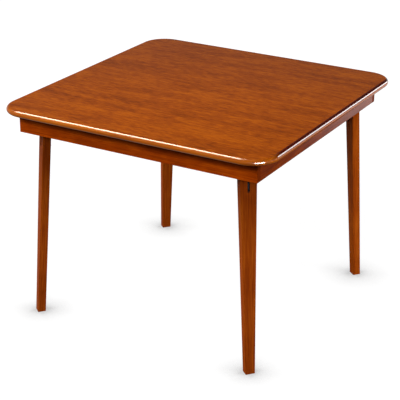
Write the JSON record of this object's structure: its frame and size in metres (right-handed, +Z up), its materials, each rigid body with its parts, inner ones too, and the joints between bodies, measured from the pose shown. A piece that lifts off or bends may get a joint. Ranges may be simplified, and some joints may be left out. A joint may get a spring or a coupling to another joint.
{
  "type": "folding card table",
  "caption": "Square folding card table with a round-cornered lacquered wood top, a plain apron and tapered, splayed legs that fold up inside the apron on sprung catches.",
  "frame": {"origin": "on the floor under the middle of the top, at the height of the feet", "axes": "+X right along the front edge, +Y towards the back, +Z up"},
  "size_m": [0.965, 0.965, 0.737],
  "materials": {
    "top_veneer": "gloss lacquer",
    "rail_wood": "gloss lacquer",
    "leg_wood": "gloss lacquer",
    "block_wood": "raw sawn",
    "zinc_steel": "zinc plated",
    "zinc_screw": "zinc plated",
    "spring_steel": "tempered blue-grey",
    "black_steel": "blackened"
  },
  "bodies": {
    "table": {"top_panel": "top_veneer", "top_frame_front": "top_veneer", "top_frame_right": "top_veneer", "top_frame_back": "top_veneer", "top_frame_left": "top_veneer", "apron_rail_front": "rail_wood", "apron_rail_right": "rail_wood", "apron_rail_back": "rail_wood", "apron_rail_left": "rail_wood", "corner_block_front_right": "block_wood", "block_screws_front_right": "zinc_screw", "corner_bracket_front_right": "zinc_steel", "bracket_screws_front_right": "zinc_screw", "corner_block_back_right": "block_wood", "block_screws_back_right": "zinc_screw", "corner_bracket_back_right": "zinc_steel", "bracket_screws_back_right": "zinc_screw", "corner_block_back_left": "block_wood", "block_screws_back_left": "zinc_screw", "corner_bracket_back_left": "zinc_steel", "bracket_screws_back_left": "zinc_screw", "corner_block_front_left": "block_wood", "block_screws_front_left": "zinc_screw", "corner_bracket_front_left": "zinc_steel", "bracket_screws_front_left": "zinc_screw"},
    "front_right_leg": {"leg_front_right": "leg_wood", "hinge_pin_front_right": "zinc_steel", "catch_pin_front_right": "zinc_steel", "catch_spring_front_right": "spring_steel", "spring_pin_front_right": "zinc_steel"},
    "front_right_catch": {"catch_front_right": "black_steel"},
    "back_right_leg": {"leg_back_right": "leg_wood", "hinge_pin_back_right": "zinc_steel", "catch_pin_back_right": "zinc_steel", "catch_spring_back_right": "spring_steel", "spring_pin_back_right": "zinc_steel"},
    "back_right_catch": {"catch_back_right": "black_steel"},
    "back_left_leg": {"leg_back_left": "leg_wood", "hinge_pin_back_left": "zinc_steel", "catch_pin_back_left": "zinc_steel", "catch_spring_back_left": "spring_steel", "spring_pin_back_left": "zinc_steel"},
    "back_left_catch": {"catch_back_left": "black_steel"},
    "front_left_leg": {"leg_front_left": "leg_wood", "hinge_pin_front_left": "zinc_steel", "catch_pin_front_left": "zinc_steel", "catch_spring_front_left": "spring_steel", "spring_pin_front_left": "zinc_steel"},
    "front_left_catch": {"catch_front_left": "black_steel"}
  },
  "joints": [
    {"name": "front_right_leg_fold", "type": "hinge", "parent": "table", "child": "front_right_leg", "pos_m": [0.36446, -0.37379, 0.687], "axis": [0.6428, 0.766, 0], "range_deg": [0, 95.75]},
    {"name": "front_right_catch_release", "type": "hinge", "parent": "front_right_leg", "child": "front_right_catch", "pos_m": [0.37233, -0.38039, 0.64762], "axis": [-0.6428, -0.766, 0], "range_deg": [0, 12], "stiffness_Nm_per_rad": 0.8, "springref_deg": -11.46, "deforming": ["catch_spring_front_right"]},
    {"name": "back_right_leg_fold", "type": "hinge", "parent": "table", "child": "back_right_leg", "pos_m": [0.37379, 0.36446, 0.687], "axis": [-0.766, 0.6428, 0], "range_deg": [0, 92.25]},
    {"name": "back_right_catch_release", "type": "hinge", "parent": "back_right_leg", "child": "back_right_catch", "pos_m": [0.38039, 0.37233, 0.64762], "axis": [0.766, -0.6428, 0], "range_deg": [0, 12], "stiffness_Nm_per_rad": 0.8, "springref_deg": -11.46, "deforming": ["catch_spring_back_right"]},
    {"name": "back_left_leg_fold", "type": "hinge", "parent": "table", "child": "back_left_leg", "pos_m": [-0.36446, 0.37379, 0.687], "axis": [-0.6428, -0.766, 0], "range_deg": [0, 95.75]},
    {"name": "back_left_catch_release", "type": "hinge", "parent": "back_left_leg", "child": "back_left_catch", "pos_m": [-0.37233, 0.38039, 0.64762], "axis": [0.6428, 0.766, 0], "range_deg": [0, 12], "stiffness_Nm_per_rad": 0.8, "springref_deg": -11.46, "deforming": ["catch_spring_back_left"]},
    {"name": "front_left_leg_fold", "type": "hinge", "parent": "table", "child": "front_left_leg", "pos_m": [-0.37379, -0.36446, 0.687], "axis": [0.766, -0.6428, 0], "range_deg": [0, 92.25]},
    {"name": "front_left_catch_release", "type": "hinge", "parent": "front_left_leg", "child": "front_left_catch", "pos_m": [-0.38039, -0.37233, 0.64762], "axis": [-0.766, 0.6428, 0], "range_deg": [0, 12], "stiffness_Nm_per_rad": 0.8, "springref_deg": -11.46, "deforming": ["catch_spring_front_left"]}
  ]
}
